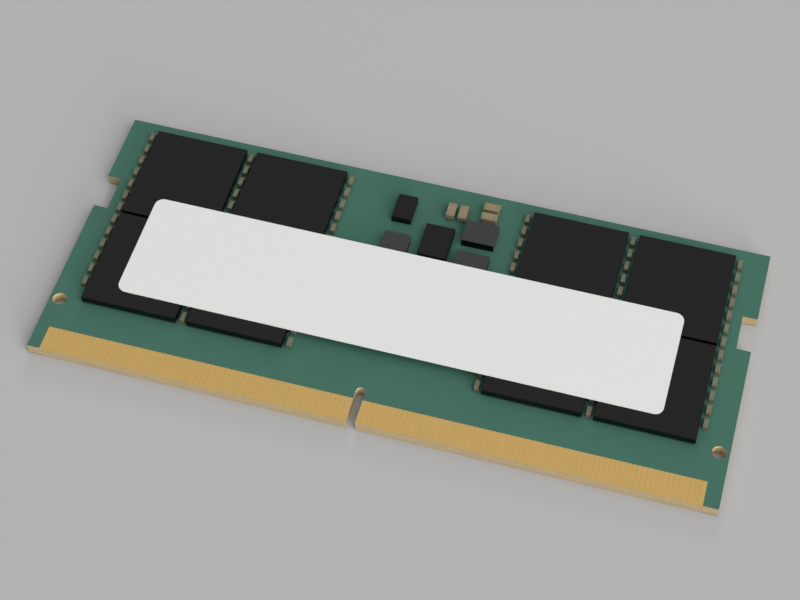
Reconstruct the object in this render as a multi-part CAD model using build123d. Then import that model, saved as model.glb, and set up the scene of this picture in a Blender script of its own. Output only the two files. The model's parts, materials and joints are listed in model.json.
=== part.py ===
from build123d import *
import os

# A single-sided laptop memory module, lying flat with its chips up.
# Millimetres. Origin: centre of the underside. +X along the long edge, +Y from the
# contact edge to the rear edge, +Z up out of the chip side.

# ---- Board ----
BOARD_X = 67.6
BOARD_Y = 30.0
BOARD_T = 1.2
SKIN = 0.04                       # solder mask, and the plated contacts beside it
FRONT_EDGE = -BOARD_Y / 2
SIDE_EDGE = BOARD_X / 2
TOP = BOARD_T                     # height of the surface that carries the chips

KEY_X = -1.2                      # slot that stops the module going in reversed
KEY_WIDTH = 0.94
KEY_DEPTH = 4.0
NOTCH_DEPTH = 1.45                # side notches for the socket's latches
NOTCH_HEIGHT = 4.0
NOTCH_Y = FRONT_EDGE + 20.0
HOLE_R = 0.7                      # locating holes at the front corners
HOLE_X = SIDE_EDGE - 1.0
HOLE_Y = FRONT_EDGE + 6.0

# ---- Edge contacts ----
BAND_LEFT = -32.5                 # ends and depth of the strip that the mask leaves bare
BAND_RIGHT = 32.3
BAND_DEPTH = 2.63
PITCH = 0.5
FINGER_GAP = 0.04
FINGERS_LEFT = 61
FINGERS_RIGHT = 66

# ---- Memory packages: two rows of four ----
PACKAGE_X = 9.75
PACKAGE_Y = 11.04
PACKAGE_H = 0.94                  # board surface to package top
INNER_X = 14.76                   # centres of the inner and outer packages from the middle
OUTER_X = 25.6
REAR_ROW_Y = 7.98
FRONT_ROW_Y = -3.32
BALL_H = 0.2
BALL_R = 0.225
BALL_PITCH = 0.8
BALL_COLUMNS = (-4, -3, -2, 2, 3, 4)
BALL_ROWS = range(-6, 7)
SUBSTRATE_T = 0.14
MOULD_EDGE = 0.05
DIE_X = 6.8
DIE_Y = 8.6
DIE_T = 0.22

# ---- Small capacitors in columns between the packages ----
CHIP_LENGTH = 1.0
CHIP_WIDTH = 0.5
CHIP_H = 0.5
CHIP_END = 0.26
CHIP_PITCH = 1.61
CHIP_FIRST_Y = 12.9
CHIP_OFFSET = 5.43                # from a package's centre to the column beside it
OUTER_COUNT = 13
INNER_COUNT = 14
WALL = 0.02                       # thickness of a chip capacitor's metal end caps
CHAMFER = 0.03

# ---- Power section in the middle ----
BULK_LENGTH = 1.66
BULK_WIDTH = 0.88
BULK_H = 0.8
BULK_END = 0.34
BULK_ALONG_Y = ((1.67, 11.69), (2.9, 11.66))
BULK_ALONG_X = ((5.58, 11.8), (5.57, 13.05))

COIL_LONG = 3.35
COIL_SHORT = 2.63
COIL_H = 0.94
COIL_EDGE = 0.05                  # rounding of the core's edges
RING_R = 0.95
RING_BORE = 0.5
RING_H = 0.42
WIRE_Z = 0.28                     # underside of the winding
TAIL_WIDTH = 0.3
TAIL_H = 0.15
TERMINAL_LENGTH = 0.75
TERMINAL_WIDTH = 1.9
TERMINAL_T = 0.08
INDUCTORS = {                     # place and turn of each
    "rear": (5.25, 9.375, 0),
    "front": (5.22, 5.43, 0),
    "left": (-2.69, 5.535, 90),
}

POWER_SIZE = (2.96, 4.0, 0.85)
POWER_PLACE = (1.22, 7.28)
POWER_LEAD = (0.35, 0.2)
POWER_LEAD_PITCH = 0.4
POWER_LEADS = (6, 8)              # on each end, on each side
POWER_PAD = (1.7, 2.7)
HUB_SIZE = (2.0, 3.08, 0.83)
HUB_PLACE = (-2.975, 10.695)
HUB_LEAD = (0.4, 0.25)
HUB_LEAD_PITCH = 0.5
HUB_LEADS = (4, 0)
HUB_PAD = (1.4, 1.5)
LEAD_RISE = 0.03                  # gap under the two leadless packages
LEAD_T = 0.18
LEAD_INSET = 0.06                 # from the package's walls to the leads' ends

# ---- Label and solder ----
LABEL_X = 54.4
LABEL_Y = 12.0
LABEL_T = 0.1
LABEL_CORNER = 0.9
LABEL_PLACE = (-0.27, -1.11)
FILLET_RUN = 0.06
FILLET_RISE = 0.14


def block(size_x, size_y, size_z, x=0.0, y=0.0, z=0.0):
    """A box centred on x and y that stands on height z."""
    return Pos(x, y, z) * Box(size_x, size_y, size_z, align=(Align.CENTER, Align.CENTER, Align.MIN))


def plate(outline, thickness, z):
    """A flat sheet of the given outline that lies on height z."""
    return Pos(0, 0, z) * extrude(outline, thickness)


def group(pieces):
    """Separate solids that share one node."""
    return Compound(children=[piece.solid() for piece in pieces])


def save(name, shape):
    shape.label = name
    export_step(shape, f"parts/{name}.step")


# ---- Board and contacts ----

def board_outline():
    """The routed outline, with the key slot, both latch notches and both holes."""
    outline = Rectangle(BOARD_X, BOARD_Y)
    straight = KEY_DEPTH - KEY_WIDTH / 2
    outline -= Pos(KEY_X, FRONT_EDGE + straight / 2) * Rectangle(KEY_WIDTH, straight)
    outline -= Pos(KEY_X, FRONT_EDGE + straight) * Circle(KEY_WIDTH / 2)
    for side in (-1, 1):
        notch_x = side * (SIDE_EDGE - NOTCH_DEPTH / 2)
        outline -= Pos(notch_x, NOTCH_Y) * Rectangle(NOTCH_DEPTH, NOTCH_HEIGHT)
        outline -= Pos(side * HOLE_X, HOLE_Y) * Circle(HOLE_R)
    return outline


def mask_outline():
    """The board's outline less the bare strip along the contact edge."""
    middle = ((BAND_LEFT + BAND_RIGHT) / 2, FRONT_EDGE + BAND_DEPTH / 2)
    band = Pos(*middle) * Rectangle(BAND_RIGHT - BAND_LEFT, BAND_DEPTH)
    return board_outline() - band


def contacts(low_x, high_x, count, z):
    """A row of fingers from one end of the bare strip to the other; the two end fingers fill it."""
    margin = (high_x - low_x - count * PITCH) / 2
    fingers = []
    for i in range(count):
        start = low_x if i == 0 else low_x + margin + i * PITCH + FINGER_GAP / 2
        end = high_x if i == count - 1 else low_x + margin + (i + 1) * PITCH - FINGER_GAP / 2
        middle = (start + end) / 2
        fingers.append(block(end - start, BAND_DEPTH, SKIN, middle, FRONT_EDGE + BAND_DEPTH / 2, z))
    return group(fingers)


def make_board():
    save("board_laminate", plate(board_outline(), BOARD_T - 2 * SKIN, SKIN))
    save("solder_mask_top", plate(mask_outline(), SKIN, TOP - SKIN))
    save("solder_mask_bottom", plate(mask_outline(), SKIN, 0))
    for face, z in (("top", TOP - SKIN), ("bottom", 0)):
        save(f"contacts_{face}_left", contacts(BAND_LEFT, KEY_X - KEY_WIDTH / 2, FINGERS_LEFT, z))
        save(f"contacts_{face}_right", contacts(KEY_X + KEY_WIDTH / 2, BAND_RIGHT, FINGERS_RIGHT, z))


# ---- Memory packages ----

def package_places():
    """Centres of the eight packages: the rear row from left to right, then the front row."""
    columns = (-OUTER_X, -INNER_X, INNER_X, OUTER_X)
    return [(x, y) for y in (REAR_ROW_Y, FRONT_ROW_Y) for x in columns]


def ball_grid(x, y):
    """Solder balls squashed between the board and the package."""
    ball = Sphere(BALL_R) & Box(1, 1, BALL_H)
    middle = TOP + BALL_H / 2
    spots = [(x + c * BALL_PITCH, y + r * BALL_PITCH) for c in BALL_COLUMNS for r in BALL_ROWS]
    return group([Pos(spot_x, spot_y, middle) * ball for spot_x, spot_y in spots])


def make_package(name, x, y):
    base = TOP + BALL_H
    seat = base + SUBSTRATE_T
    mould_h = PACKAGE_H - BALL_H - SUBSTRATE_T
    die = block(DIE_X, DIE_Y, DIE_T, x, y, seat)
    mould = block(PACKAGE_X, PACKAGE_Y, mould_h, x, y, seat)
    mould = chamfer(mould.edges().group_by(Axis.Z)[-1], MOULD_EDGE) - die
    save(f"{name}_balls", ball_grid(x, y))
    save(f"{name}_substrate", block(PACKAGE_X, PACKAGE_Y, SUBSTRATE_T, x, y, base))
    save(f"{name}_die", die)
    save(f"{name}_mould", mould)


# ---- Chip capacitors ----

def ceramic(length, width, height):
    """The ceramic body of a chip capacitor, long in Y, inside its end caps."""
    return block(width - 2 * WALL, length - 2 * WALL, height - 2 * WALL, z=WALL)


def end_caps(length, width, height, end):
    """The two metal caps over the ends of the ceramic."""
    whole = block(width, length, height)
    whole = chamfer(whole.edges(), CHAMFER)
    middle = block(width, length - 2 * end, height)
    return (whole - middle - ceramic(length, width, height)).solids()


def solder_wedges(length, width):
    """The solder that climbs both ends of a chip capacitor."""
    foot = length / 2
    wedge = Polyline((foot, 0), (foot + FILLET_RUN, 0), (foot, FILLET_RISE), close=True)
    one = extrude(Plane.YZ * make_face(wedge), width / 2, both=True)
    return [one, Rot(0, 0, 180) * one]


def column_places():
    """Centre and number of capacitors of the six columns, from left to right."""
    near = INNER_X - CHIP_OFFSET
    between = INNER_X + CHIP_OFFSET
    far = OUTER_X + CHIP_OFFSET
    right = [(near, INNER_COUNT), (between, INNER_COUNT), (far, OUTER_COUNT)]
    return [(-x, count) for x, count in reversed(right)] + right


def chip_places(side):
    """Where the small capacitors stand on the left (-1) or right (1) half."""
    columns = [(x, count) for x, count in column_places() if x * side > 0]
    return [Pos(x, CHIP_FIRST_Y - i * CHIP_PITCH, TOP) for x, count in columns for i in range(count)]


def bulk_places():
    """Where the four larger capacitors stand, two along Y and two along X."""
    along_y = [Pos(x, y, TOP) for x, y in BULK_ALONG_Y]
    along_x = [Pos(x, y, TOP) * Rot(0, 0, 90) for x, y in BULK_ALONG_X]
    return along_y + along_x


def make_capacitors():
    body = ceramic(CHIP_LENGTH, CHIP_WIDTH, CHIP_H)
    caps = end_caps(CHIP_LENGTH, CHIP_WIDTH, CHIP_H, CHIP_END)
    for name, side in (("left", -1), ("right", 1)):
        places = chip_places(side)
        save(f"capacitors_{name}_ceramic", group([place * body for place in places]))
        save(f"capacitors_{name}_end_caps", group([place * cap for place in places for cap in caps]))
    bulk_body = ceramic(BULK_LENGTH, BULK_WIDTH, BULK_H)
    bulk_caps = end_caps(BULK_LENGTH, BULK_WIDTH, BULK_H, BULK_END)
    save("bulk_capacitors_ceramic", group([place * bulk_body for place in bulk_places()]))
    save("bulk_capacitors_end_caps", group([p * cap for p in bulk_places() for cap in bulk_caps]))


def make_solder():
    small = solder_wedges(CHIP_LENGTH, CHIP_WIDTH)
    large = solder_wedges(BULK_LENGTH, BULK_WIDTH)
    places = chip_places(-1) + chip_places(1)
    wedges = [place * wedge for place in places for wedge in small]
    wedges += [place * wedge for place in bulk_places() for wedge in large]
    save("solder_fillets", group(wedges))


# ---- Power section ----

def inductor_winding(reach):
    """A ring of wire whose tails run out to both sides and down to the terminals."""
    bore = Pos(0, 0, WIRE_Z) * extrude(Circle(RING_BORE), RING_H)
    ring = Pos(0, 0, WIRE_Z) * extrude(Circle(RING_R), RING_H)
    tail = block(2 * reach + TAIL_WIDTH, TAIL_WIDTH, TAIL_H, z=WIRE_Z)
    leg = block(TAIL_WIDTH, TAIL_WIDTH, WIRE_Z + TAIL_H - TERMINAL_T, z=TERMINAL_T)
    return ring + tail + Pos(reach, 0) * leg + Pos(-reach, 0) * leg - bore


def make_inductor(name, x, y, turn):
    """A moulded power inductor: winding, two flat terminals and the core pressed round them."""
    place = Pos(x, y, TOP) * Rot(0, 0, turn)
    reach = (COIL_LONG - TERMINAL_LENGTH) / 2
    terminal = block(TERMINAL_LENGTH, TERMINAL_WIDTH, TERMINAL_T)
    terminals = [Pos(side * reach, 0) * terminal for side in (-1, 1)]
    winding = inductor_winding(reach)
    core = block(COIL_LONG, COIL_SHORT, COIL_H)
    core = fillet(core.edges().filter_by(Axis.Z) + core.edges().group_by(Axis.Z)[-1], COIL_EDGE)
    core = core - terminals[0] - terminals[1] - winding
    save(f"inductor_{name}_core", place * core)
    save(f"inductor_{name}_winding", place * winding)
    save(f"inductor_{name}_terminals", group([place * terminal for terminal in terminals]))


def leads_and_pad(size, lead, pitch, counts, pad):
    """The leads just inside the walls of a leadless package, and the pad in the middle."""
    size_x, size_y, _ = size
    length, width = lead
    on_ends, on_sides = counts
    pieces = [block(*pad, LEAD_T)]
    end_row = [(i - (on_ends - 1) / 2) * pitch for i in range(on_ends)]
    side_row = [(i - (on_sides - 1) / 2) * pitch for i in range(on_sides)]
    for side in (-1, 1):
        end_y = side * ((size_y - length) / 2 - LEAD_INSET)
        side_x = side * ((size_x - length) / 2 - LEAD_INSET)
        pieces += [block(width, length, LEAD_T, x, end_y) for x in end_row]
        pieces += [block(length, width, LEAD_T, side_x, y) for y in side_row]
    return pieces


def make_leadless(name, size, place, leads):
    """A moulded package that stands on flat leads, its body cut round them."""
    size_x, size_y, height = size
    spot = Pos(*place, TOP)
    body = block(size_x, size_y, height - LEAD_RISE, z=LEAD_RISE)
    body = chamfer(body.edges().group_by(Axis.Z)[-1], MOULD_EDGE)
    for one in leads:
        body -= one
    save(f"{name}_body", spot * body)
    save(f"{name}_leads", group([spot * one for one in leads]))


def make_power_section():
    for name, (x, y, turn) in INDUCTORS.items():
        make_inductor(name, x, y, turn)
    power_leads = leads_and_pad(POWER_SIZE, POWER_LEAD, POWER_LEAD_PITCH, POWER_LEADS, POWER_PAD)
    make_leadless("power_chip", POWER_SIZE, POWER_PLACE, power_leads)
    hub_leads = leads_and_pad(HUB_SIZE, HUB_LEAD, HUB_LEAD_PITCH, HUB_LEADS, HUB_PAD)
    make_leadless("hub_chip", HUB_SIZE, HUB_PLACE, hub_leads)


# ---- Label ----

def make_label():
    x, y = LABEL_PLACE
    sheet = extrude(RectangleRounded(LABEL_X, LABEL_Y, LABEL_CORNER), LABEL_T)
    save("label", Pos(x, y, TOP + PACKAGE_H) * sheet)


os.makedirs("parts", exist_ok=True)
make_board()
for number, (centre_x, centre_y) in enumerate(package_places(), start=1):
    make_package(f"memory_{number}", centre_x, centre_y)
make_capacitors()
make_solder()
make_power_section()
make_label()
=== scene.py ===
import json
import math

import bpy
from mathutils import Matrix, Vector


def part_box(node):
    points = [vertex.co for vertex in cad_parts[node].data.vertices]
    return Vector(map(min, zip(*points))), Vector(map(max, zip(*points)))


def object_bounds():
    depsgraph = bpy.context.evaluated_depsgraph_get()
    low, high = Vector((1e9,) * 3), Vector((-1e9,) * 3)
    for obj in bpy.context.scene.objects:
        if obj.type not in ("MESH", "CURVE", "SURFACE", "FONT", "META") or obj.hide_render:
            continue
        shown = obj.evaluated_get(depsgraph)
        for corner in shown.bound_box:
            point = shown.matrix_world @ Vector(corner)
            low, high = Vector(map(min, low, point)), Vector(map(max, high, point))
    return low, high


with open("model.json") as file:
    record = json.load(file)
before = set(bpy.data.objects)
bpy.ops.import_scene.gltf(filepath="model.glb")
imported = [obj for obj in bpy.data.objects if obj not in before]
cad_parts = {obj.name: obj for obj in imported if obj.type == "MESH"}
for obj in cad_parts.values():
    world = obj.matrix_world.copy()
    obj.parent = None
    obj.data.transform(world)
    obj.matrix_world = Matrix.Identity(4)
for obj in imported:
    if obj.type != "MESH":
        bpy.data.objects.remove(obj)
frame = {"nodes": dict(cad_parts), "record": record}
cad_low, cad_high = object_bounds()
NODES = frame["nodes"]
MM = 0.001


# ---- Camera ----

VIEW_AZIMUTH = 15.597             # degrees, 0 looks along +Y
VIEW_ELEVATION = 54.129
VIEW_DISTANCE = 183.0 * MM
VIEW_LENS = 83.707
VIEW_TARGET = Vector((-0.475, -0.138, 1.2)) * MM
SENSOR_WIDTH = 36                 # millimetres, as the lens is
CLIP_START = 5 * MM


def direction(azimuth, elevation):
    """Unit vector from the object towards a place at this azimuth and elevation."""
    a, e = math.radians(azimuth), math.radians(elevation)
    return Vector((math.sin(a) * math.cos(e), -math.cos(a) * math.cos(e), math.sin(e)))


def make_camera():
    data = bpy.data.cameras.new("camera")
    data.lens = VIEW_LENS
    data.sensor_width = SENSOR_WIDTH
    data.clip_start = CLIP_START
    camera = bpy.data.objects.new("camera", data)
    back = direction(VIEW_AZIMUTH, VIEW_ELEVATION)
    camera.location = VIEW_TARGET + back * VIEW_DISTANCE
    camera.rotation_euler = (-back).to_track_quat("-Z", "Y").to_euler()
    bpy.context.collection.objects.link(camera)
    bpy.context.scene.camera = camera


# ---- Materials: each is a small node tree in millimetres ----

class Finish:
    """A new material with a Principled shader, and short calls that add nodes to it."""

    def __init__(self, name, colour, roughness, metallic=0.0, specular=0.5):
        self.material = bpy.data.materials.new(name)
        self.material.use_nodes = True
        self.tree = self.material.node_tree
        self.shader = self.tree.nodes["Principled BSDF"]
        self.shader.inputs["Base Color"].default_value = (*colour, 1)
        self.shader.inputs["Roughness"].default_value = roughness
        self.shader.inputs["Metallic"].default_value = metallic
        self.shader.inputs["Specular IOR Level"].default_value = specular
        self.place = self.add("ShaderNodeVectorMath", operation="SCALE")
        self.place.inputs["Scale"].default_value = 1 / MM
        self.link(self.add("ShaderNodeTexCoord").outputs["Object"], self.place.inputs[0])
        self.height = None

    def add(self, kind, **settings):
        node = self.tree.nodes.new(kind)
        for key, value in settings.items():
            setattr(node, key, value)
        return node

    def link(self, output, socket):
        self.tree.links.new(output, socket)

    def stretched(self, x, y, z):
        """The place in millimetres, multiplied along each axis."""
        node = self.add("ShaderNodeVectorMath", operation="MULTIPLY")
        node.inputs[1].default_value = (x, y, z)
        self.link(self.place.outputs[0], node.inputs[0])
        return node.outputs[0]

    def noise(self, per_mm, detail=3.0, roughness=0.55, along=(1, 1, 1)):
        node = self.add("ShaderNodeTexNoise")
        node.inputs["Scale"].default_value = per_mm
        node.inputs["Detail"].default_value = detail
        node.inputs["Roughness"].default_value = roughness
        self.link(self.stretched(*along), node.inputs["Vector"])
        return node.outputs[0]

    def cells(self, per_mm, feature="F1"):
        node = self.add("ShaderNodeTexVoronoi", feature=feature)
        node.inputs["Scale"].default_value = per_mm
        self.link(self.place.outputs[0], node.inputs["Vector"])
        return node.outputs["Distance"]

    def facing(self, axis):
        """1 on faces that look along this axis of the part, either way, and 0 on the others."""
        split = self.add("ShaderNodeSeparateXYZ")
        self.link(self.add("ShaderNodeTexCoord").outputs["Normal"], split.inputs[0])
        return self.spread(self.maths("ABSOLUTE", split.outputs[axis], 0), 0.6, 0.95)

    def near(self, x, y, reach):
        """1 within this many millimetres of an upright line through the part, and 0 farther out."""
        gap = self.add("ShaderNodeVectorMath", operation="DISTANCE")
        self.link(self.stretched(1, 1, 0), gap.inputs[0])
        gap.inputs[1].default_value = (x, y, 0)
        return self.maths("LESS_THAN", gap.outputs["Value"], reach)

    def spread(self, value, low, high, to_low=0.0, to_high=1.0, smooth=False):
        """The value taken from one range to another and held inside it."""
        node = self.add("ShaderNodeMapRange", interpolation_type="SMOOTHSTEP" if smooth else "LINEAR")
        for socket, number in zip(node.inputs[1:5], (low, high, to_low, to_high)):
            socket.default_value = number
        self.link(value, node.inputs["Value"])
        return node.outputs[0]

    def maths(self, operation, one, two):
        node = self.add("ShaderNodeMath", operation=operation)
        for socket, value in zip(node.inputs, (one, two)):
            if isinstance(value, (int, float)):
                socket.default_value = value
            else:
                self.link(value, socket)
        return node.outputs[0]

    def colours(self, factor, *stops):
        """Base colour from a ramp of (position, colour) pairs."""
        ramp = self.add("ShaderNodeValToRGB")
        while len(ramp.color_ramp.elements) < len(stops):
            ramp.color_ramp.elements.new(1.0)
        for element, (position, colour) in zip(ramp.color_ramp.elements, stops):
            element.position = position
            element.color = (*colour, 1)
        self.link(factor, ramp.inputs["Fac"])
        self.link(ramp.outputs["Color"], self.shader.inputs["Base Color"])
        return ramp.outputs["Color"]

    def rough(self, value, low, high):
        """Roughness that follows a value in 0 to 1."""
        self.link(self.spread(value, 0, 1, low, high), self.shader.inputs["Roughness"])

    def bump(self, value, depth_mm, strength=1.0):
        """Relief on top of any relief added before."""
        node = self.add("ShaderNodeBump")
        node.inputs["Strength"].default_value = strength
        node.inputs["Distance"].default_value = depth_mm * MM
        self.link(value, node.inputs["Height"])
        if self.height:
            self.link(self.height, node.inputs["Normal"])
        self.height = node.outputs["Normal"]
        self.link(self.height, self.shader.inputs["Normal"])


def shade(colour, amount):
    """A colour made darker (below 1) or lighter (above 1)."""
    return tuple(channel * amount for channel in colour)


def solder_mask():
    """Green lacquer over copper: faint tracks show as relief and covered vias as paler dots."""
    green = (0.0555, 0.148, 0.1095)
    finish = Finish("solder_mask", green, 0.46, specular=0.1)
    vias = finish.spread(finish.cells(0.7), 0.07, 0.12, 0.25, 0.0)
    mottle = finish.maths("ADD", finish.noise(0.35, 4.0), vias)
    finish.colours(mottle, (0.3, shade(green, 0.97)), (0.75, shade(green, 1.03)))
    finish.rough(finish.noise(3.0), 0.42, 0.5)
    tracks = finish.spread(finish.noise(1.1, 0.0, along=(1.0, 0.15, 1.0)), 0.47, 0.53, smooth=True)
    finish.bump(tracks, 0.006, 0.25)
    finish.bump(vias, 0.01, 0.5)
    return finish.material


KEY_DEPTH = 4.0                   # millimetres from the contact edge to the end of the key slot
KEY_RADIUS = 0.47                 # of that round end
HOLE_LIGHT_MARGIN = 0.07             # millimetres by which the painted light, a paler colour, passes the wall
# how much paler the laminate is painted in and around the holes: painted light
HOLE_LIGHT_GAIN = 1.4


def drilled_walls():
    """Middle and reach, in millimetres, of the two locating holes and of the key slot's round end."""
    holes = [mount for mount in frame["record"]["mounts"] if mount["kind"] == "bore"]
    walls = [(m["pos_m"][0] / MM, m["pos_m"][1] / MM, m["dims"]["r_mm"] + HOLE_LIGHT_MARGIN) for m in holes]
    slot_x = (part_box("contacts_top_left")[1].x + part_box("contacts_top_right")[0].x) / 2 / MM
    slot_y = cad_low.y / MM + KEY_DEPTH - KEY_RADIUS
    return walls + [(slot_x, slot_y, KEY_RADIUS + HOLE_LIGHT_MARGIN)]


def laminate():
    """Cut glass and resin in plies. Painted light: paler in and around the drilled holes, and the faces
    looking up or down, bare only between the contacts, painted a bright yellow lighter than the resin to
    cancel the shade in those gaps.
    """
    tan = (0.46, 0.355, 0.20)
    finish = Finish("laminate", tan, 0.75, specular=0.3)
    plies = finish.noise(1.0, 2.0, along=(0.5, 0.5, 14.0))
    cut = finish.maths("MULTIPLY", finish.spread(plies, 0.3, 0.7), 0.7)
    # Painted light: faces looking along Z get a bright yellow, lighter than the resin's tan, which hides
    # the shade in the narrow gaps between the contacts.
    face = finish.colours(
        finish.maths("ADD", cut, finish.facing("Z")),
        (0.0, shade(tan, 0.88)),
        (0.7, shade(tan, 1.06)),
        (1.0, (0.92, 0.60, 0.19)),
    )
    # Painted light: the colour is made paler in and just around the two holes and the key slot's round
    # end.
    hole_light_mask = 0.0
    for wall in drilled_walls():
        hole_light_mask = finish.maths("ADD", hole_light_mask, finish.near(*wall))
    paler = finish.add("ShaderNodeVectorMath", operation="SCALE")
    finish.link(face, paler.inputs[0])
    finish.link(finish.spread(hole_light_mask, 0, 1, 1.0, HOLE_LIGHT_GAIN), paler.inputs["Scale"])
    finish.link(paler.outputs[0], finish.shader.inputs["Base Color"])
    finish.bump(finish.noise(9.0, along=(1, 1, 3)), 0.02, 0.5)
    return finish.material


def contact_gold():
    """Plated contacts, rubbed along their length by the socket."""
    gold = (0.675, 0.446, 0.146)
    finish = Finish("contact_gold", gold, 0.42, metallic=0.6, specular=0.5)
    rubbed = finish.noise(2.0, 4.0, along=(1.0, 0.12, 1.0))
    finish.colours(rubbed, (0.35, shade(gold, 0.985)), (0.65, shade(gold, 1.015)))
    finish.rough(rubbed, 0.4, 0.46)
    finish.bump(finish.noise(12.0, along=(1.0, 0.1, 1.0)), 0.003, 0.2)
    return finish.material


def mould_black():
    """Moulding compound: near black, with its light from a satin surface and a fine grain."""
    black = (0.0006, 0.0006, 0.0006)
    finish = Finish("mould_black", black, 0.3, specular=0.33)
    grain = finish.noise(7.0, 4.0, 0.7)
    finish.colours(grain, (0.3, shade(black, 0.7)), (0.7, shade(black, 1.3)))
    finish.rough(finish.noise(0.8), 0.28, 0.32)
    finish.bump(grain, 0.006, 0.5)
    return finish.material


def substrate():
    """Dark package substrate in thin plies."""
    dark = (0.006, 0.012, 0.009)
    finish = Finish("substrate", dark, 0.6, specular=0.3)
    plies = finish.noise(1.0, 2.0, along=(0.4, 0.4, 30.0))
    finish.colours(plies, (0.35, shade(dark, 0.8)), (0.65, shade(dark, 1.3)))
    return finish.material


def silicon():
    """Polished silicon, hidden inside the packages."""
    grey = (0.22, 0.23, 0.26)
    finish = Finish("silicon", grey, 0.2, metallic=0.5)
    finish.colours(finish.noise(2.0), (0.3, shade(grey, 0.9)), (0.7, shade(grey, 1.1)))
    return finish.material


def dull_metal(name, colour, roughness, metallic=0.7):
    """Solder, plated end caps, lead frames and wire: a fine grain in the colour, gloss and relief."""
    finish = Finish(name, colour, roughness, metallic=metallic)
    grain = finish.noise(14.0, 3.0)
    finish.colours(grain, (0.3, shade(colour, 0.85)), (0.7, shade(colour, 1.15)))
    finish.rough(grain, roughness - 0.06, roughness + 0.08)
    finish.bump(grain, 0.006, 0.4)
    return finish.material


def ceramic(name, colour):
    """Fired ceramic with a fine grain."""
    finish = Finish(name, colour, 0.55, specular=0.4)
    grain = finish.noise(10.0, 3.0)
    finish.colours(grain, (0.3, shade(colour, 0.92)), (0.7, shade(colour, 1.08)))
    finish.bump(grain, 0.004, 0.4)
    return finish.material


def core_grey():
    """Pressed iron powder, with painted shade: the walls that look along Y, either way, are painted near
    black.
    """
    grey = (0.0435, 0.0422, 0.0428)
    finish = Finish("core_grey", grey, 0.6, specular=0.25)
    grain = finish.noise(11.0, 4.0, 0.7)
    # Painted shade: the walls that look along Y take the near-black first stop of the ramp.
    not_painted_dark = finish.maths("SUBTRACT", 1.0, finish.facing("Y"))
    finish.colours(
        finish.maths("MULTIPLY", finish.spread(grain, 0.3, 0.7, 0.7, 1.0), not_painted_dark),
        (0.0, shade(grey, 0.02)),
        (0.7, shade(grey, 0.85)),
        (1.0, shade(grey, 1.15)),
    )
    finish.bump(grain, 0.012, 0.5)
    return finish.material


def label_white():
    """Blank coated paper with a little fibre."""
    white = (0.72, 0.72, 0.705)
    finish = Finish("label_white", white, 0.65, specular=0.3)
    fibre = finish.noise(2.5, 5.0, 0.65)
    finish.colours(fibre, (0.3, shade(white, 0.985)), (0.7, shade(white, 1.01)))
    finish.bump(fibre, 0.006, 0.4)
    return finish.material


def make_finishes():
    """One material for each material slot of the record, and one more for the bulk capacitors' ends."""
    return {
        "laminate": laminate(),
        "solder_mask": solder_mask(),
        "contact_gold": contact_gold(),
        "mould_black": mould_black(),
        "substrate": substrate(),
        "silicon": silicon(),
        "solder": dull_metal("solder", (0.16, 0.155, 0.14), 0.5),
        "end_cap": dull_metal("end_cap", (0.194, 0.174, 0.111), 0.55, metallic=0.3),
        "end_cap_bulk": dull_metal("end_cap_bulk", (0.249, 0.2235, 0.143), 0.55, metallic=0.3),
        "ceramic_small": ceramic("ceramic_small", (0.163, 0.164, 0.116)),
        "ceramic_bulk": ceramic("ceramic_bulk", (0.259, 0.201, 0.118)),
        "core_grey": core_grey(),
        "copper": dull_metal("copper", (0.6, 0.28, 0.16), 0.35),
        "lead_frame": dull_metal("lead_frame", (0.4, 0.39, 0.36), 0.4),
        "label_white": label_white(),
    }


# ---- CAD nodes: material and softened edges ----

WELD_GAP = 0.0005                 # millimetres between CAD vertices that are joined
SHARP_ANGLE = 40                  # degrees, above which an edge is rounded
ROUNDING_SEGMENTS = 2


def soften(obj, width):
    """Joins the CAD mesh's faces and rounds its sharp edges a little."""
    weld = obj.modifiers.new("weld", "WELD")
    weld.merge_threshold = WELD_GAP * MM
    bevel = obj.modifiers.new("bevel", "BEVEL")
    bevel.width = width * MM
    bevel.segments = ROUNDING_SEGMENTS
    bevel.limit_method = "ANGLE"
    bevel.angle_limit = math.radians(SHARP_ANGLE)
    bevel.harden_normals = True


EDGE_ROUNDING = {                 # millimetres, by the slot that the node wears
    "laminate": 0.03,
    "contact_gold": 0.005,
    "end_cap": 0.015,
    "ceramic_small": 0.015,
    "ceramic_bulk": 0.02,
    "label_white": 0.02,
    "mould_black": 0.02,
    "core_grey": 0.02,
}


def dress_nodes():
    finishes = make_finishes()
    for part in frame["record"]["subparts"]:
        node = NODES[part["node"]]
        slot = part["material_slot"]
        own = "end_cap_bulk" if part["node"] == "bulk_capacitors_end_caps" else slot
        node.data.materials.clear()
        node.data.materials.append(finishes[own])
        if slot in EDGE_ROUNDING:
            soften(node, EDGE_ROUNDING[slot])


# ---- Floor and light ----

LIGHT_DISTANCE = 2.0              # metres
FLOOR_SIZE = 4.0
FLOOR_GREY = 0.437
DOME_SHARE = 0.21
HORIZON_TOP = 0.2                 # height on the unit dome where the horizon has faded out


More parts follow.
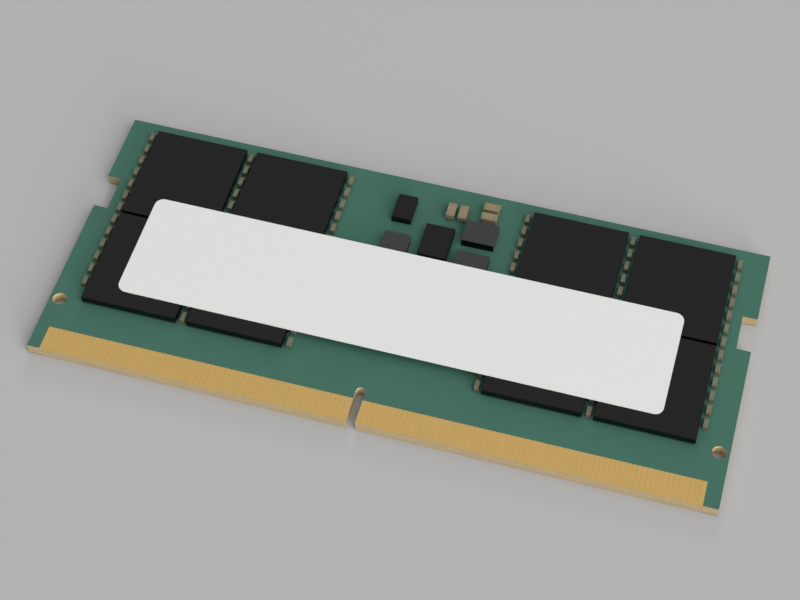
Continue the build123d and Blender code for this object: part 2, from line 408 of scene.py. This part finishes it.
def make_floor():
    bpy.ops.mesh.primitive_plane_add(size=FLOOR_SIZE, location=(0, 0, cad_low.z))
    floor = bpy.context.object
    floor.name = "floor"
    grey = (FLOOR_GREY, FLOOR_GREY, FLOOR_GREY)
    finish = Finish("floor", grey, 0.9, specular=0.0)
    finish.colours(finish.noise(0.02), (0.3, shade(grey, 0.998)), (0.7, shade(grey, 1.002)))
    floor.data.materials.append(finish.material)


def soft_light(name, azimuth, elevation, spread, share, mirrored=True):
    """A round light as wide as `spread` degrees either side, which gives the floor its share of the light.

    One that isn't mirrored lights the part but leaves no glare on it.
    """
    data = bpy.data.lights.new(name, "AREA")
    data.shape = "DISK"
    data.size = 2 * LIGHT_DISTANCE * math.tan(math.radians(spread))
    lost = math.sin(math.radians(elevation)) * math.cos(math.radians(spread)) ** 2
    data.energy = share * math.pi ** 2 * LIGHT_DISTANCE ** 2 / lost
    light = bpy.data.objects.new(name, data)
    back = direction(azimuth, elevation)
    light.location = back * LIGHT_DISTANCE
    light.rotation_euler = (-back).to_track_quat("-Z", "Y").to_euler()
    light.visible_glossy = mirrored
    bpy.context.collection.objects.link(light)


def make_world():
    """An even grey dome that meets the floor's grey at the horizon."""
    world = bpy.data.worlds.new("studio")
    world.use_nodes = True
    nodes, links = world.node_tree.nodes, world.node_tree.links
    split = nodes.new("ShaderNodeSeparateXYZ")
    links.new(nodes.new("ShaderNodeTexCoord").outputs["Generated"], split.inputs[0])
    strength = nodes.new("ShaderNodeMapRange")
    strength.interpolation_type = "SMOOTHSTEP"
    for socket, number in zip(strength.inputs[1:5], (0.0, HORIZON_TOP, FLOOR_GREY, DOME_SHARE)):
        socket.default_value = number
    links.new(split.outputs["Z"], strength.inputs["Value"])
    background = nodes["Background"]
    background.inputs["Color"].default_value = (1, 1, 1, 1)
    links.new(strength.outputs[0], background.inputs["Strength"])
    bpy.context.scene.world = world


def make_light():
    """With the dome these have shares of about 1 in all, so the floor shows nearly its own colour."""
    make_world()
    soft_light("overhead", 0, 88, 50, 0.30)
    soft_light("key", 61, 33, 31, 0.36, mirrored=False)
    soft_light("side", 42, 10, 8, 0.07, mirrored=False)
    soft_light("rim", 190, 23, 8, 0.075, mirrored=False)
    bpy.context.scene.view_settings.view_transform = "Standard"


make_camera()
dress_nodes()
make_floor()
make_light()
